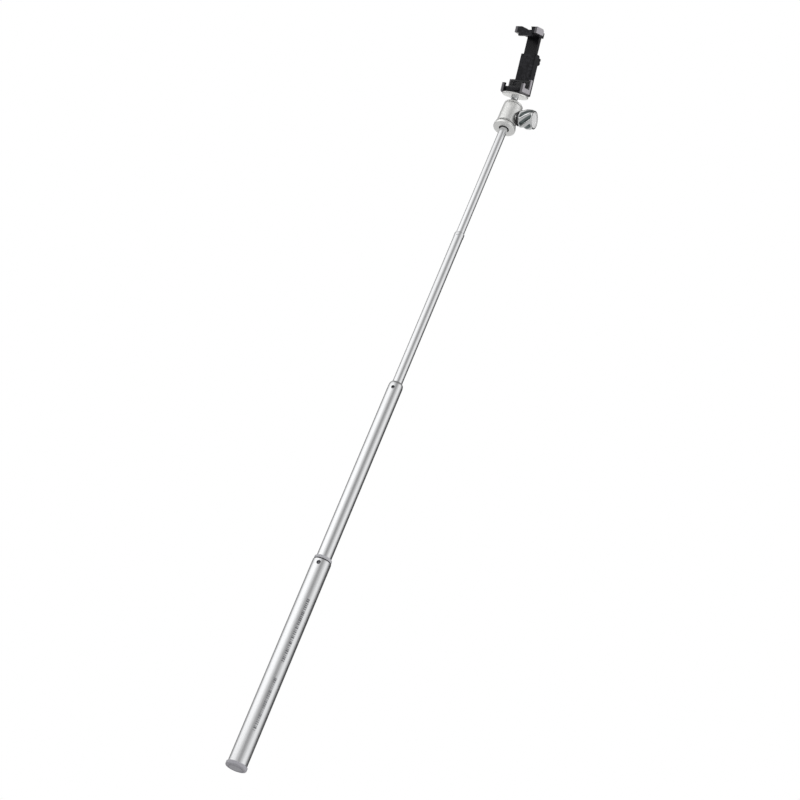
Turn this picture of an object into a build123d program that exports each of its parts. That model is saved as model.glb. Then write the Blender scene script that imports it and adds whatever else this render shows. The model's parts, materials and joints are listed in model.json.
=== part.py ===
from build123d import *
import math
import os

# Telescoping selfie stick: four nested aluminium tubes with spring-button locks, a small ball
# head locked by a fluted side knob, and a sliding phone clamp.  Millimetres, +Z up the stick,
# origin at the centre of the end cap's bottom face.  The lock buttons face -Y.

# ---- driving dimensions: tubes ----
HANDLE_R = 12.0          # outer radius of the handle tube
HANDLE_BORE_R = 10.5
CAP_R = 13.3             # end cap flange
CAP_HEIGHT = 5.4
CAP_SPIGOT_TOP = 12.0
HANDLE_TOP = 278.4
COLLAR_TOP = 283.2       # top of the grey collar round section 2
COLLAR_R = 11.4
COLLAR_SLEEVE_Z = 258.0  # bottom end of the collar's sleeve inside the handle

SECTION_2_R = 9.6
SECTION_2_BORE_R = 8.3
SECTION_2_TOP = 544.0
SECTION_3_R = 6.6
SECTION_3_BORE_R = 5.9
SECTION_3_TOP = 789.0
SECTION_4_R = 5.6
SECTION_4_BORE_R = 4.6
SECTION_4_BOTTOM = 760.0
SECTION_4_TOP = 982.0
SECTION_4_NECK_R = 5.22  # turned-down end that carries the friction sleeve
TOP_BUSH_Z = 514.0       # bottom of the bush in the mouth of section 2
FOOT_HEIGHT = 5.7        # flange height of the guide bush under sections 2 and 3
SPIGOT_HEIGHT = 3.5      # part of the foot bush inside its tube
FOOT_GAP = 0.3           # play between a foot bush and the stop above it
RUN = 0.05               # radial running clearance

BUTTON_2_Z = 272.2
BUTTON_3_Z = 533.6
LOCK_HOLE_R = 2.6

# ---- driving dimensions: ball head ----
HEAD_Z = 974.0           # bottom face of the head
HEAD_BASE_R = 15.7
HEAD_R = 14.1
HEAD_BODY_TOP = 1012.8
HEAD_TOP = 1017.0
HEAD_TURN = -8.0         # heading of the knob from +X, degrees
RECESS_R = 7.3           # recess in the base that takes the tube's end
RECESS_TOP = 984.0
CHAMBER_R = 10.1
KNOB_Z = 994.3
KNOB_R = 14.0
KNOB_NEAR = 18.2
KNOB_FAR = 38.8
BALL_Z = 1007.0
BALL_R = 8.5
STEM_TOP = 20.6
DISC_R = 18.5
DISC_TOP = 23.0

# ---- driving dimensions: phone clamp, measured from the ball's centre up the stem ----
TILT = 27.0              # lean of the stem towards -Y at rest, degrees
TURN = -27.0             # heading of the clamp about the stem at rest, degrees
JAW_HALF = 20.5
JAW_FRONT = -10.0
JAW_BACK = 6.0
JAW_BOTTOM = 23.6
SHELF_TOP = 31.6
PHONE_LOW = 33.6         # lower face of the phone
PHONE_GAP = 75.0
PHONE_HIGH = PHONE_LOW + PHONE_GAP
UPPER_BOTTOM = PHONE_HIGH + 0.8
UPPER_TOP = 118.2
SLIDER_HALF = 11.0
SLIDER_Y = (8.25, 12.75)
SLIDER_BOTTOM = 54.0
HOUSING_HALF = 14.0
HOUSING_TOP = 84.0
COVER_Y = (13.0, 16.0)
THUMB_Z = 78.0


# ---- small helpers ----
def disc(radius, low, high):
    """Solid cylinder on the Z axis from low to high."""
    return Pos(0, 0, low) * Cylinder(radius, high - low, align=(Align.CENTER, Align.CENTER, Align.MIN))


def ring(outer, inner, low, high):
    """Hollow cylinder on the Z axis."""
    return disc(outer, low, high) - disc(inner, low - 1, high + 1)


def rod(radius, near, far):
    """Solid cylinder on the X axis from near to far."""
    return Rot(0, 90, 0) * disc(radius, near, far)


def peg(radius, near, far):
    """Solid cylinder on the Y axis from near to far."""
    return Rot(-90, 0, 0) * disc(radius, near, far)


def block(x, y, z):
    """Box between pairs of limits on each axis."""
    size = (x[1] - x[0], y[1] - y[0], z[1] - z[0])
    centre = ((x[0] + x[1]) / 2, (y[0] + y[1]) / 2, (z[0] + z[1]) / 2)
    return Pos(*centre) * Box(*size)


def turned(*profile):
    """Solid of revolution about Z from (radius, height) corners."""
    outline = Polyline(*[(radius, 0, height) for radius, height in profile], close=True)
    return revolve(make_face(outline), axis=Axis.Z)


def side_hole(radius, height, inner, outer):
    """Cutter for a round hole through a tube wall on the -Y side."""
    return Pos(0, 0, height) * peg(radius, -outer, -inner)


# ---- handle ----
def end_cap():
    body = disc(CAP_R, 0, CAP_HEIGHT)
    body = fillet(body.edges().group_by(Axis.Z)[0], 1.4)
    body = fillet(body.edges().group_by(Axis.Z)[-1], 1.0)
    body -= ring(10.2, 8.6, -1, 0.8)
    body += disc(HANDLE_BORE_R - RUN, CAP_HEIGHT, CAP_SPIGOT_TOP)
    return body - disc(7.5, 3.5, CAP_SPIGOT_TOP + 1)


def handle_tube():
    tube = ring(HANDLE_R, HANDLE_BORE_R, CAP_HEIGHT, HANDLE_TOP)
    rim = tube.edges().group_by(Axis.Z)[-1].sort_by(SortBy.RADIUS)[-1]
    tube = fillet(rim, 1.2)
    return tube - side_hole(LOCK_HOLE_R, BUTTON_2_Z, 8, 14)


def handle_collar():
    inner = SECTION_2_R + RUN
    sleeve_r = HANDLE_BORE_R - RUN
    body = turned(
        (inner, COLLAR_SLEEVE_Z), (sleeve_r, COLLAR_SLEEVE_Z), (sleeve_r, HANDLE_TOP),
        (COLLAR_R, HANDLE_TOP), (COLLAR_R, COLLAR_TOP - 1.0), (COLLAR_R - 0.7, COLLAR_TOP),
        (inner + 0.5, COLLAR_TOP), (inner, COLLAR_TOP - 0.6),
    )
    return body - side_hole(LOCK_HOLE_R, BUTTON_2_Z, 8, 14)


# ---- telescoping sections ----
def foot_bush(guide_r, tube_r, bore_r, stop_z):
    """Guide bush plugged into a tube's lower end; its flange is the end stop."""
    top = stop_z - FOOT_GAP
    body = disc(guide_r, top - FOOT_HEIGHT, top)
    body = chamfer(body.edges(), 0.5)
    body += disc(tube_r, top - 1.0, top)
    body += disc(bore_r - RUN, top, top + SPIGOT_HEIGHT)
    return body - disc(bore_r - 1.6, top - FOOT_HEIGHT - 1, top + SPIGOT_HEIGHT + 1)


def section_2_tube():
    shoulder = SECTION_2_TOP - 7.0
    low = COLLAR_SLEEVE_Z - FOOT_GAP
    outline = Line((SECTION_2_R, 0, low), (SECTION_2_R, 0, shoulder))
    outline += Bezier((SECTION_2_R, 0, shoulder), (SECTION_2_R, 0, shoulder + 4.6),
                      (8.5, 0, SECTION_2_TOP), (7.1, 0, SECTION_2_TOP))
    outline += Polyline((7.1, 0, SECTION_2_TOP), (6.72, 0, SECTION_2_TOP - 0.4), (6.72, 0, shoulder + 4),
                        (SECTION_2_BORE_R, 0, shoulder), (SECTION_2_BORE_R, 0, low), (SECTION_2_R, 0, low))
    tube = revolve(make_face(outline), axis=Axis.Z)
    tube -= side_hole(2.45, BUTTON_2_Z, 5, 11)
    return tube - side_hole(2.3, BUTTON_3_Z, 5, 11)


def section_2_top_bush():
    bush = ring(SECTION_2_BORE_R - RUN, SECTION_3_R + RUN, TOP_BUSH_Z, SECTION_2_TOP - 7.2)
    return bush - side_hole(2.3, BUTTON_3_Z, 5, 11)


def section_3_tube():
    low = TOP_BUSH_Z - FOOT_GAP
    lip = SECTION_4_R + RUN
    tube = turned(
        (SECTION_3_R, low), (SECTION_3_R, SECTION_3_TOP - 6.0), (SECTION_3_R + 0.25, SECTION_3_TOP - 5.4),
        (SECTION_3_R + 0.25, SECTION_3_TOP - 2.0), (SECTION_3_R - 0.15, SECTION_3_TOP - 0.5),
        (SECTION_3_R - 0.5, SECTION_3_TOP), (lip + 0.15, SECTION_3_TOP), (lip, SECTION_3_TOP - 0.3),
        (lip, SECTION_3_TOP - 5.0), (SECTION_3_BORE_R, SECTION_3_TOP - 5.3), (SECTION_3_BORE_R, low),
    )
    return tube - side_hole(2.05, BUTTON_3_Z, 3, 8)


def section_4_tube():
    neck_top = SECTION_3_TOP - 5.3
    return turned(
        (SECTION_4_BORE_R, SECTION_4_BOTTOM), (SECTION_4_NECK_R, SECTION_4_BOTTOM),
        (SECTION_4_NECK_R, neck_top), (SECTION_4_R, neck_top), (SECTION_4_R, SECTION_4_TOP),
        (SECTION_4_BORE_R, SECTION_4_TOP),
    )


def friction_sleeve():
    sleeve = ring(SECTION_3_BORE_R - RUN, SECTION_4_NECK_R, SECTION_4_BOTTOM, SECTION_3_TOP - 5.6)
    slits = [Rot(0, 0, angle) * block((0, 8), (-0.4, 0.4), (SECTION_4_BOTTOM - 1, SECTION_4_BOTTOM + 14))
             for angle in (0, 120, 240)]
    return sleeve - slits


def lock_button(pin_r, foot_r, foot, wall, tip, height):
    """Domed pin that points to -Y, with a foot that keeps it inside the tube."""
    dome = fillet(peg(pin_r, -tip, -foot).edges().group_by(Axis.Y)[0], pin_r * 0.55)
    inside = peg(foot_r, -(wall - 0.15), -foot)
    keep = peg(2 * wall, -wall, wall) & disc(wall - 0.12, -foot_r, foot_r)
    return Pos(0, 0, height) * (dome + (inside & keep))


def lock_spring(height, foot, bore_r, width):
    """Folded leaf spring: one leg behind the button's foot, the other on the far wall of the bore."""
    thick = 0.5
    far = bore_r - 0.6
    near = -(foot - 0.6 * thick)
    path = Polyline((0, far, height + 5), (0, far - 1.2, height - 8), (0, near, height - 9.5),
                    (0, near, height + 2.5))
    leg = Plane((0, far, height + 5), x_dir=(1, 0, 0), z_dir=path % 0)
    return sweep(leg * Rectangle(width, thick), path=path, transition=Transition.RIGHT)


# ---- ball head ----
def head_adapter():
    """Plug in the top of section 4 with the threaded stud that the head screws on to."""
    body = disc(SECTION_4_BORE_R - RUN, SECTION_4_TOP - 14, SECTION_4_TOP)
    body += disc(SECTION_4_R, SECTION_4_TOP, RECESS_TOP)
    return body + disc(3.1, RECESS_TOP, RECESS_TOP + 5.0)


def head_grommet():
    body = ring(RECESS_R - RUN, SECTION_4_R + RUN, HEAD_Z + 0.8, RECESS_TOP)
    return chamfer(body.edges().group_by(Axis.Z)[0].sort_by(SortBy.RADIUS)[0], 0.5)


def head_body():
    body = turned(
        (0, HEAD_Z), (HEAD_BASE_R - 0.8, HEAD_Z), (HEAD_BASE_R, HEAD_Z + 0.9), (HEAD_BASE_R, HEAD_Z + 3.8),
        (HEAD_BASE_R - 0.5, HEAD_Z + 5.2), (HEAD_BASE_R - 1.6, HEAD_Z + 5.4), (HEAD_BASE_R - 1.6, HEAD_Z + 6.2),
        (HEAD_BASE_R - 0.7, HEAD_Z + 6.4), (HEAD_BASE_R - 0.9, HEAD_Z + 7.7), (HEAD_R - 0.6, HEAD_Z + 7.9),
        (HEAD_R - 0.6, HEAD_Z + 8.7), (HEAD_R + 0.1, HEAD_Z + 8.9), (HEAD_R, HEAD_Z + 10.5),
        (HEAD_R - 0.1, HEAD_BODY_TOP - 0.4), (HEAD_R - 0.5, HEAD_BODY_TOP), (0, HEAD_BODY_TOP),
    )
    body -= disc(RECESS_R, HEAD_Z - 1, RECESS_TOP)
    body -= disc(3.2, RECESS_TOP - 1, 990)
    body -= disc(5.5, 989.6, 998)
    body -= disc(CHAMBER_R, 997.2, HEAD_BODY_TOP + 1)
    body += Pos(0, 0, KNOB_Z) * (rod(6.4, 10.6, 14.9) - disc(CHAMBER_R, -9, 9))
    return body - Pos(0, 0, KNOB_Z) * rod(2.6, 2, 20)


def head_collar():
    body = turned(
        (0, BALL_Z + 0.9), (CHAMBER_R - RUN, BALL_Z + 0.9), (CHAMBER_R - RUN, HEAD_BODY_TOP),
        (HEAD_R - 0.5, HEAD_BODY_TOP), (HEAD_R - 0.5, HEAD_TOP - 1.6), (HEAD_R - 1.2, HEAD_TOP - 0.5),
        (HEAD_R - 2.0, HEAD_TOP), (0, HEAD_TOP),
    )
    body -= Pos(0, 0, BALL_Z) * Sphere(BALL_R + 0.1)
    return body - turned((0, BALL_Z + 3), (7.53, BALL_Z + 3), (11.7, HEAD_TOP + 0.2), (0, HEAD_TOP + 0.2))


def pressure_cone():
    """Brass piston under the cup; the knob's screw wedges it upwards."""
    body = disc(5.4, 989.8, 997.0)
    return body - Pos(3.6, 0, KNOB_Z) * Rot(0, 90, 0) * Cone(1.0, 2.7, 4.2)


def ball_cup():
    cup = disc(CHAMBER_R - 0.1, 997.3, BALL_Z - 0.8)
    return cup - Pos(0, 0, BALL_Z) * Sphere(BALL_R + 0.06)


def knob_washer():
    return Pos(0, 0, KNOB_Z) * (rod(10.4, 14.9, KNOB_NEAR - 0.3) - rod(2.7, 14, KNOB_NEAR))


def knob_shell():
    """Barrel with a dished end and big slanted flutes."""
    barrel = turned(
        (0, KNOB_NEAR), (10.6, KNOB_NEAR), (12.2, KNOB_NEAR + 1.2), (13.4, KNOB_NEAR + 5),
        (KNOB_R, KNOB_NEAR + 10), (KNOB_R, KNOB_FAR - 5), (13.4, KNOB_FAR - 1.2), (12.4, KNOB_FAR),
        (10.6, KNOB_FAR), (9.8, KNOB_FAR - 1.5), (0, KNOB_FAR - 2.2),
    )
    groove = Pos(KNOB_R + 3.0, 0, (KNOB_NEAR + KNOB_FAR) / 2 + 1) * Rot(28, 0, 0) * Cylinder(4.6, 50)
    barrel -= [Rot(0, 0, 60 * turn) * groove for turn in range(6)]
    barrel -= disc(2.5, KNOB_NEAR - 1, KNOB_FAR - 8)
    return Pos(0, 0, KNOB_Z) * Rot(0, 90, 0) * barrel


def knob_screw():
    body = rod(2.5, 5.5, KNOB_FAR - 8) + Pos(4.5, 0, 0) * Rot(0, 90, 0) * Cone(1.2, 2.5, 2.0)
    return Pos(0, 0, KNOB_Z) * body


def ball_stem():
    stem = turned(
        (0, 0), (4.0, 0), (4.0, 15.2), (5.0, 16.5), (5.0, STEM_TOP), (3.0, STEM_TOP), (0, STEM_TOP),
    )
    return Sphere(BALL_R) + stem


def platform_disc():
    body = disc(DISC_R, STEM_TOP, DISC_TOP)
    body = chamfer(body.edges().group_by(Axis.Z)[0], 0.9)
    return body - disc(3.05, STEM_TOP - 1, DISC_TOP + 1)


def platform_pad():
    return ring(DISC_R - 1.0, 3.6, DISC_TOP, JAW_BOTTOM)


def platform_stud():
    return chamfer(disc(3.0, STEM_TOP, 30.0).edges().group_by(Axis.Z)[-1], 0.6)


# ---- phone clamp: fixed half ----
def lower_jaw():
    body = block((-JAW_HALF, JAW_HALF), (JAW_FRONT, JAW_BACK), (JAW_BOTTOM, SHELF_TOP))
    low_edges = body.edges().filter_by(lambda edge: edge.center().Z < JAW_BOTTOM + 0.1)
    body = chamfer([edge for edge in low_edges if edge.center().Y > JAW_FRONT + 1], 2.2)
    body += block((-JAW_HALF, JAW_HALF), (3.2, JAW_BACK), (SHELF_TOP, 46))
    for side in (-1, 1):
        near, far = sorted((side * 15.5, side * JAW_HALF))
        body += block((near, far), (JAW_FRONT, -6.8), (SHELF_TOP, 37.6))
    body -= block((-15.5, 15.5), (JAW_FRONT - 1, -7.2), (26.0, SHELF_TOP + 1))
    body += block((0.2, 12.4), (-8.8, -7.2), (27.2, 29.6))
    body -= disc(4.52, JAW_BOTTOM - 1, 32)
    for x in (-8, 8):
        body -= Pos(x, 0, 40) * peg(1.6, 2, 7)
        body -= Pos(x, 0, 40) * peg(2.9, 2, 4.4)
    return body


def threaded_insert():
    return ring(4.5, 3.1, JAW_BOTTOM + 0.1, SHELF_TOP - 0.1)


def lower_pad():
    pad = block((-19.8, 19.8), (-6.6, 3.0), (SHELF_TOP, PHONE_LOW))
    grooves = [block((-21, 21), (y - 0.4, y + 0.4), (PHONE_LOW - 0.6, PHONE_LOW + 1)) for y in (-4.5, -2, 0.5)]
    return pad - grooves


def back_pad():
    return block((-18, 18), (2.1, 3.2), (35.5, 44.5)) - [Pos(x, 0, 40) * peg(3.2, 1, 4) for x in (-8, 8)]


def slide_housing():
    body = block((-HOUSING_HALF, HOUSING_HALF), (JAW_BACK, COVER_Y[0]), (24.6, HOUSING_TOP))
    body = fillet(body.edges().filter_by(Axis.Z).group_by(Axis.Y)[0], 1.5)
    inner_y = (SLIDER_Y[0] - 0.2, COVER_Y[0] + 1)
    body -= block((-SLIDER_HALF - 0.25, SLIDER_HALF + 0.25), inner_y, (36.5, HOUSING_TOP + 1))
    for x in (-8, 8):
        body -= Pos(x, 0, 30) * peg(1.3, 5, 14)
        body -= Pos(x, 0, 40) * peg(1.3, 5, 9)
    for x in (-12.6, 12.6):
        for z in (33, 66):
            body -= Pos(x, 0, z) * peg(0.75, 9, 14)
    return body


def housing_cover():
    body = block((-HOUSING_HALF, HOUSING_HALF), COVER_Y, (24.6, HOUSING_TOP))
    body = fillet(body.edges().filter_by(Axis.Z).group_by(Axis.Y)[-1], 1.5)
    body = chamfer(body.faces().sort_by(Axis.Y)[-1].edges().filter_by(Axis.X), 1.2)
    body -= Pos(0, 0, THUMB_Z) * peg(3.52, 12, 17)
    for x in (-12.6, 12.6):
        for z in (33, 66):
            body -= Pos(x, 0, z) * peg(0.9, 12, 17)
    return body


def cover_screws():
    screw = peg(0.7, 10, 15.2) + peg(0.88, 15.2, 15.9)
    return [Pos(x, 0, z) * screw for x in (-12.6, 12.6) for z in (33, 66)]


def jaw_screws():
    screw = peg(1.25, 2.9, 7.9) + peg(2.7, 3.3, 4.3)
    slot = block((-2, 2), (2, 3.4), (-0.35, 0.35))
    return [Pos(x, 0, 40) * (screw - slot) for x in (-8, 8)]


def lock_nut():
    return Pos(0, 0, THUMB_Z) * (peg(3.5, COVER_Y[0], COVER_Y[1]) - peg(2.08, 12, 17))


# ---- phone clamp: sliding half ----
def upper_jaw():
    block_y = (JAW_FRONT, 4.6)
    body = block((-JAW_HALF, JAW_HALF), block_y, (UPPER_BOTTOM, UPPER_TOP))
    rear_top = body.edges().filter_by(Axis.X).sort_by(lambda edge: edge.center().Y + edge.center().Z)[-1]
    body = chamfer(rear_top, 2.6)
    body += block((-13, 13), (4.6, 14.6), (UPPER_BOTTOM - 1.0, 116.0))
    body += block((-12.5, 12.5), (JAW_FRONT, -6.8), (105.0, UPPER_BOTTOM))
    notch = Polyline((-10.4, 0, UPPER_TOP + 1), (-8.7, 0, UPPER_TOP), (-3.2, 0, 113.5), (10.4, 0, 113.5),
                     (8.4, 0, UPPER_TOP), (8.4, 0, UPPER_TOP + 1), close=True)
    body -= extrude(make_face(notch), amount=40, both=True)
    body -= block((-SLIDER_HALF, SLIDER_HALF), SLIDER_Y, (UPPER_BOTTOM - 2, 113))
    for x in (-6, 6):
        body -= Pos(x, 0, 111.2) * (peg(1.6, 12, 16) + peg(2.8, 13.6, 16))
    return body


def upper_pad():
    return block((-12.5, 12.5), (-6.8, 3.6), (PHONE_HIGH, UPPER_BOTTOM))


def jaw_slider():
    body = block((-SLIDER_HALF, SLIDER_HALF), SLIDER_Y, (SLIDER_BOTTOM, 113))
    body = chamfer(body.edges().filter_by(Axis.X).group_by(Axis.Z)[0], 0.8)
    body -= block((-2.6, 2.6), (SLIDER_Y[1] - 0.8, SLIDER_Y[1] + 1), (SLIDER_BOTTOM + 1.4, 102))
    for x in (-6, 6):
        body -= Pos(x, 0, 111.2) * peg(1.2, 9.5, 14)
    return body


def slider_screws():
    screw = peg(1.15, 10, 14.2) + peg(2.6, 13.7, 14.5)
    slot = block((-2, 2), (14.2, 15), (-0.3, 0.3))
    return [Pos(x, 0, 111.2) * (screw - slot) for x in (-6, 6)]


def thumbscrew_shaft():
    return Pos(0, 0, THUMB_Z) * peg(2.0, SLIDER_Y[1] - 0.7, 24.0)


def thumbscrew_knob():
    body = peg(8.0, 17.0, 26.5)
    body = fillet(body.edges(), 0.8)
    for lobe in range(6):
        body -= Rot(0, 60 * lobe, 0) * Pos(10.2, 0, 0) * peg(3.6, 16, 28)
    return Pos(0, 0, THUMB_Z) * (body - peg(2.0, 16, 24.0))


# ---- assembly ----
IN_PLACE = Pos(0, 0, 0)
HEAD = Rot(0, 0, HEAD_TURN)
BALL = Pos(0, 0, BALL_Z) * Rot(TILT, 0, 0)
CLAMP = BALL * Rot(0, 0, TURN)

GROUPS = [
    (IN_PLACE, {
        "end_cap": end_cap(),
        "handle_tube": handle_tube(),
        "handle_collar": handle_collar(),
        "section_2_tube": section_2_tube(),
        "section_2_foot_bush": foot_bush(HANDLE_BORE_R - 0.08, SECTION_2_R, SECTION_2_BORE_R, COLLAR_SLEEVE_Z),
        "section_2_top_bush": section_2_top_bush(),
        "section_2_lock_button": lock_button(2.4, 3.6, 6.4, SECTION_2_BORE_R, 10.3, BUTTON_2_Z),
        "section_2_lock_spring": lock_spring(BUTTON_2_Z, 6.4, SECTION_2_BORE_R, 3.0),
        "section_3_tube": section_3_tube(),
        "section_3_foot_bush": foot_bush(SECTION_2_BORE_R - 0.08, SECTION_3_R, SECTION_3_BORE_R, TOP_BUSH_Z),
        "section_3_lock_button": lock_button(2.0, 2.8, 4.3, SECTION_3_BORE_R, 8.1, BUTTON_3_Z),
        "section_3_lock_spring": lock_spring(BUTTON_3_Z, 4.3, SECTION_3_BORE_R, 2.4),
        "section_4_tube": section_4_tube(),
        "friction_sleeve": friction_sleeve(),
        "head_adapter": head_adapter(),
    }),
    (HEAD, {
        "head_grommet": head_grommet(),
        "head_body": head_body(),
        "head_collar": head_collar(),
        "pressure_cone": pressure_cone(),
        "ball_cup": ball_cup(),
        "knob_washer": knob_washer(),
        "lock_knob": knob_shell(),
        "knob_screw": knob_screw(),
    }),
    (BALL, {
        "ball_stem": ball_stem(),
        "platform_disc": platform_disc(),
        "platform_pad": platform_pad(),
        "platform_stud": platform_stud(),
    }),
    (CLAMP, {
        "lower_jaw": lower_jaw(),
        "threaded_insert": threaded_insert(),
        "lower_pad": lower_pad(),
        "back_pad": back_pad(),
        "slide_housing": slide_housing(),
        "housing_cover": housing_cover(),
        "cover_screws": cover_screws(),
        "jaw_screws": jaw_screws(),
        "lock_nut": lock_nut(),
        "upper_jaw": upper_jaw(),
        "upper_pad": upper_pad(),
        "jaw_slider": jaw_slider(),
        "slider_screws": slider_screws(),
        "thumbscrew_shaft": thumbscrew_shaft(),
        "thumbscrew_knob": thumbscrew_knob(),
    }),
]

os.makedirs("parts", exist_ok=True)
for place, nodes in GROUPS:
    for name, shape in nodes.items():
        pieces = shape if isinstance(shape, list) else list(shape.solids())
        placed = [place * piece for piece in pieces]
        export_step(placed[0] if len(placed) == 1 else Compound(children=placed), "parts/" + name + ".step")
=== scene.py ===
import json
import math

import bmesh
import bpy
from mathutils import Matrix, Vector
from mathutils.geometry import interpolate_bezier


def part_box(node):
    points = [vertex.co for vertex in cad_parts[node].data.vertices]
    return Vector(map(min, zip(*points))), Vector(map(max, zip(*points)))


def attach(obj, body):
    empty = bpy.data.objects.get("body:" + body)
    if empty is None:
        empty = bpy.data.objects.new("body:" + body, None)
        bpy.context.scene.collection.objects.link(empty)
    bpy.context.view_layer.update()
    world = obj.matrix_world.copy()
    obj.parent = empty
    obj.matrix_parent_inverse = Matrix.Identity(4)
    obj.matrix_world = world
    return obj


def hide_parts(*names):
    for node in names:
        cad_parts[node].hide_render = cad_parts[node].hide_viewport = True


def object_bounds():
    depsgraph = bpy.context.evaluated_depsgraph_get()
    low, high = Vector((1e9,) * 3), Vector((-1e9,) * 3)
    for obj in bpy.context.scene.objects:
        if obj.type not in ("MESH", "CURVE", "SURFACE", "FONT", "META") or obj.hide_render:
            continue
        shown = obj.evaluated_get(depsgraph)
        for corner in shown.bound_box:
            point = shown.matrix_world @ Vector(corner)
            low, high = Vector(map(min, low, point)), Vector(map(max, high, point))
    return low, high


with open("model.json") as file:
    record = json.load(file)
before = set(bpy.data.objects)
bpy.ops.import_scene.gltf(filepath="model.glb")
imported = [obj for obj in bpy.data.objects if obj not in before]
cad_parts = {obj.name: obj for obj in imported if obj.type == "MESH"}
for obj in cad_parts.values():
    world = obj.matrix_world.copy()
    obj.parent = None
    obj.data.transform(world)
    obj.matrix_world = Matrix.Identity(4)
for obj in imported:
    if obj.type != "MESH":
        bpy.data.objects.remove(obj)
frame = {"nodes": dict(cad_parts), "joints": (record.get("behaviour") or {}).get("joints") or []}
cad_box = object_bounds()
scene = bpy.context.scene


# ---- studio ----
# A white product studio.  The camera looks up along the stick from below its foot, so the
# surroundings light it from all round: a broad white panel on the left, a smaller one on the
# right, a grey gap between them and black flags behind that draw the dark edges of the tubes.
CAMERA_PLACE = (0.78569, -2.12462, -0.63071)
CAMERA_HEADING = math.radians(20.0)
CAMERA_RISE = math.radians(27.02)
CAMERA_ROLL = math.radians(22.63)
CAMERA_LENS = 89.55
FLOOR_SIZE = 14.0
FLOOR_DROP = 0.0004      # keeps the floor just clear of the end cap's face
FLOOR_COLOUR = (0.50, 0.50, 0.50, 1)
FLOOR_GLOW = 0.80

camera_data = bpy.data.cameras.new("studio_camera")
camera_data.lens = CAMERA_LENS
camera_data.clip_start = 0.05
camera_data.clip_end = 30
camera = bpy.data.objects.new("studio_camera", camera_data)
scene.collection.objects.link(camera)
camera.matrix_world = (
    Matrix.Translation(CAMERA_PLACE)
    @ Matrix.Rotation(CAMERA_HEADING, 4, "Z")
    @ Matrix.Rotation(math.pi / 2 + CAMERA_RISE, 4, "X")
    @ Matrix.Rotation(CAMERA_ROLL, 4, "Z")
)
scene.camera = camera
scene.view_settings.view_transform = "Standard"


def add(tree, kind, inputs=None, **settings):
    """A new node with its settings, and its inputs set or linked."""
    made = tree.nodes.new(kind)
    for name, value in settings.items():
        setattr(made, name, value)
    for name, value in (inputs or {}).items():
        if isinstance(value, bpy.types.NodeSocket):
            tree.links.new(value, made.inputs[name])
        else:
            made.inputs[name].default_value = value
    return made


def ramp(tree, factor, stops, easing="EASE"):
    """A colour ramp of greys or colours from (position, colour) stops."""
    made = add(tree, "ShaderNodeValToRGB", {"Fac": factor})
    made.color_ramp.interpolation = easing
    elements = made.color_ramp.elements
    while len(elements) < len(stops):
        elements.new(0.5)
    for element, (position, colour) in zip(elements, stops):
        element.position = position
        element.color = (colour, colour, colour, 1) if isinstance(colour, float) else (*colour, 1)
    return made.outputs["Color"]


# Brightness by heading from the camera, minus to its left, degrees: round the height where the
# panels hang, at their upper edge, and low down, where the left side is closed off in black.
PANELS = (
    (-180, 0.92), (-170, 0.80), (-154, 0.10), (-122, 0.46), (-98, 1.28), (-55, 1.34), (-24, 0.80), (-11, 0.46),
    (0, 0.35), (12, 0.37), (34, 0.70), (58, 1.02), (80, 0.86), (100, 0.30), (118, 0.03), (156, 0.06),
    (171, 0.80), (180, 0.92),
)
HIGH_PANELS = (
    (-180, 0.92), (-170, 0.80), (-154, 0.10), (-122, 0.36), (-98, 0.94), (-55, 0.98), (-24, 0.66), (-11, 0.43),
    (0, 0.33), (12, 0.37), (34, 0.76), (58, 1.12), (80, 0.90), (100, 0.30), (118, 0.03), (156, 0.06),
    (171, 0.80), (180, 0.92),
)
LOW_PANELS = (
    (-180, 0.80), (-160, 0.60), (-140, 0.05), (-45, 0.05), (0, 0.40), (45, 0.95), (110, 1.05), (140, 0.30),
    (160, 0.60), (180, 0.80),
)
ZENITH_GLOW = 0.20
GROUND_GLOW = 0.55

world = bpy.data.worlds.new("studio")
scene.world = world
world.use_nodes = True
sky = world.node_tree
sky.nodes.clear()
direction = add(sky, "ShaderNodeTexCoord").outputs["Generated"]
turned_to_camera = add(sky, "ShaderNodeVectorRotate", {
    "Vector": direction, "Angle": math.pi / 2 - CAMERA_HEADING,
}, rotation_type="Z_AXIS").outputs[0]
parts = add(sky, "ShaderNodeSeparateXYZ", {0: turned_to_camera})
heading = add(sky, "ShaderNodeMath", {0: parts.outputs[1], 1: parts.outputs[0]},
              operation="ARCTAN2").outputs[0]
round_horizon = add(sky, "ShaderNodeMapRange", {
    "Value": heading, "From Min": -math.pi, "From Max": math.pi,
}).outputs[0]
height = add(sky, "ShaderNodeMapRange", {"Value": parts.outputs[2], "From Min": -1, "From Max": 1}).outputs[0]
glow = ramp(sky, round_horizon, [(0.5 + angle / 360, level) for angle, level in PANELS])
high_glow = ramp(sky, round_horizon, [(0.5 + angle / 360, level) for angle, level in HIGH_PANELS])
high_share = ramp(sky, height, [(0.73, 0.0), (0.78, 1.0)])
low_glow = ramp(sky, round_horizon, [(0.5 + angle / 360, level) for angle, level in LOW_PANELS])
low_share = ramp(sky, height, [(0.51, 1.0), (0.55, 0.0)])
ends = ramp(sky, height, [(0.3, GROUND_GLOW), (0.7, ZENITH_GLOW)])
end_share = ramp(sky, height, [(0.30, 1.0), (0.40, 0.0), (0.84, 0.0), (0.90, 1.0)])
glow = add(sky, "ShaderNodeMix", {"Factor": high_share, 6: glow, 7: high_glow}, data_type="RGBA").outputs[2]
glow = add(sky, "ShaderNodeMix", {"Factor": low_share, 6: glow, 7: low_glow}, data_type="RGBA").outputs[2]
glow = add(sky, "ShaderNodeMix", {"Factor": end_share, 6: glow, 7: ends}, data_type="RGBA").outputs[2]
surroundings = add(sky, "ShaderNodeBackground", {"Color": glow})
backdrop = add(sky, "ShaderNodeBackground", {"Color": (1, 1, 1, 1)})
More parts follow.
